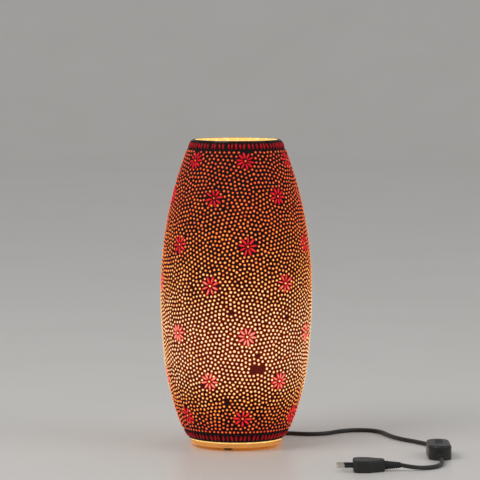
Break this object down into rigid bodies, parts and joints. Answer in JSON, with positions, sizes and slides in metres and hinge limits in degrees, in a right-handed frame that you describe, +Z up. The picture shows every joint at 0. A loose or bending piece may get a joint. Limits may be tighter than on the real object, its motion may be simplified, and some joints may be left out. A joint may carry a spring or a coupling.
{
  "type": "mosaic glass table lamp",
  "caption": "Barrel-shaped table lamp of bead-mosaic glass, open at the top, standing on a clear disc that carries a bulb; mains cord with a rocker switch and plug.",
  "frame": {"origin": "on the table under the lamp's upright axis", "axes": "+Z up along the barrel's axis, -Y to the front, +X to the side where the cord runs"},
  "size_m": [0.3395, 0.384, 0.366],
  "materials": {
    "barrel_glass": "clear, faintly amber",
    "grout": "black cement grout",
    "amber_beads": "amber glass, lit from inside",
    "red_glass": "red glass, lit from inside",
    "black_rubber": "matte",
    "clear_acrylic": "clear, polished",
    "steel": "zinc plated",
    "fibre": "red fibre",
    "brass": "turned",
    "thin_brass": "pressed",
    "black_phenolic": "moulded",
    "ceramic": "white",
    "bulb_glass": "clear",
    "bulb_metal": "pressed",
    "black_glass": "black, moulded",
    "solder": "soft solder",
    "filament": "glowing",
    "cord_sheath": "black vinyl sheath",
    "brown_wire": "brown insulation",
    "blue_wire": "blue insulation",
    "soft_black": "soft moulded vinyl",
    "switch_plastic": "fine grained",
    "rocker_plastic": "polished",
    "plug_plastic": "moulded vinyl",
    "nickel": "nickel plated brass"
  },
  "bodies": {
    "base": {"rubber_feet": "black_rubber", "base_disc": "clear_acrylic", "base_screw": "steel", "column_washer": "fibre", "holder_column": "brass", "threaded_nipple": "brass", "nipple_nut": "steel", "holder_cap": "black_phenolic", "holder_skirt": "black_phenolic", "contact_block": "ceramic", "screw_shell": "thin_brass", "live_contact": "thin_brass", "neutral_contact": "thin_brass", "terminals": "brass", "terminal_screws": "steel", "cord_inside": "cord_sheath", "live_wire": "brown_wire", "neutral_wire": "blue_wire", "strain_relief": "soft_black", "cord_lead": "cord_sheath", "cord_coil": "cord_sheath", "coil_tie": "soft_black", "cord_run": "cord_sheath", "cord_tail": "cord_sheath", "switch_base": "switch_plastic", "switch_cover": "switch_plastic", "switch_contacts": "thin_brass", "switch_screws": "steel", "switch_boot_in": "soft_black", "switch_boot_out": "soft_black", "plug_body": "plug_plastic", "plug_pins": "nickel", "plug_pin_sleeves": "soft_black", "plug_boot": "soft_black"},
    "glass": {"glass_body": "barrel_glass", "grout_skin": "grout", "bead_field": "amber_beads", "lower_border": "red_glass", "upper_border": "red_glass"},
    "bulb_tip": {"bulb_contact_tip": "solder", "bulb_insulator": "black_glass"},
    "bulb": {"bulb_glass": "bulb_glass", "bulb_screw_cap": "bulb_metal", "bulb_stem": "bulb_glass", "bulb_filaments": "filament"},
    "rocker": {"switch_rocker": "rocker_plastic"}
  },
  "joints": [
    {"name": "glass_lift", "type": "slide", "parent": "base", "child": "glass", "axis": [0, 0, 1], "range_m": [0, 0.15]},
    {"name": "bulb_rise", "type": "slide", "parent": "base", "child": "bulb_tip", "axis": [0, 0, 1], "range_m": [0, 0.0181]},
    {"name": "bulb_turn", "type": "hinge", "parent": "bulb_tip", "child": "bulb", "pos_m": [0, 0, 0.07], "axis": [0, 0, 1], "range_deg": [0, 1800]},
    {"name": "rocker_press", "type": "hinge", "parent": "base", "child": "rocker", "pos_m": [0.236, -0.094, 0.0132], "axis": [1, 0, 0], "range_deg": [-20, 0]}
  ],
  "couplings": [
    {"joint": "bulb_turn", "follows": "bulb_rise", "rad_per_m": 1730.9}
  ]
}
